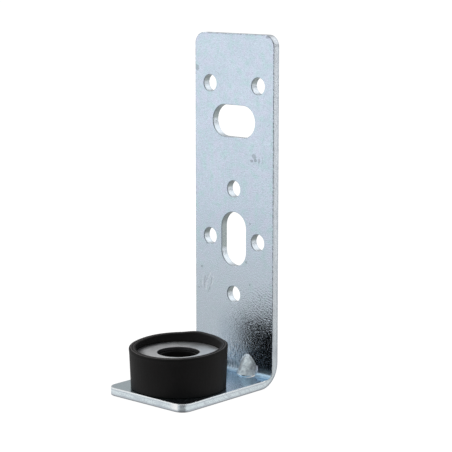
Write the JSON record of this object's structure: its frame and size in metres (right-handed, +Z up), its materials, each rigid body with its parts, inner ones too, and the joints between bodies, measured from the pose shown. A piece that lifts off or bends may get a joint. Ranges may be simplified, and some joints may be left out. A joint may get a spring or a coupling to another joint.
{
  "type": "duct hanger",
  "caption": "L-shaped hanger of folded zinc-plated strip with a rubber cup and a steel washer, for hanging an air duct from a threaded rod.",
  "frame": {"origin": "where the axis of the threaded rod meets the foot's underside", "axes": "+Z up along the upright, +Y out of the upright's outer face towards the duct, +X across the strip"},
  "size_m": [0.03, 0.0398, 0.1007],
  "materials": {
    "zinc_plated_strip": "bluish zinc plating on rolled strip, satin, with fine mottling",
    "black_rubber": "moulded, semi-matt",
    "washer_steel": "grey, satin"
  },
  "bodies": {
    "root": {"bracket": "zinc_plated_strip", "rubber_cup": "black_rubber", "washer": "washer_steel"}
  },
  "joints": []
}
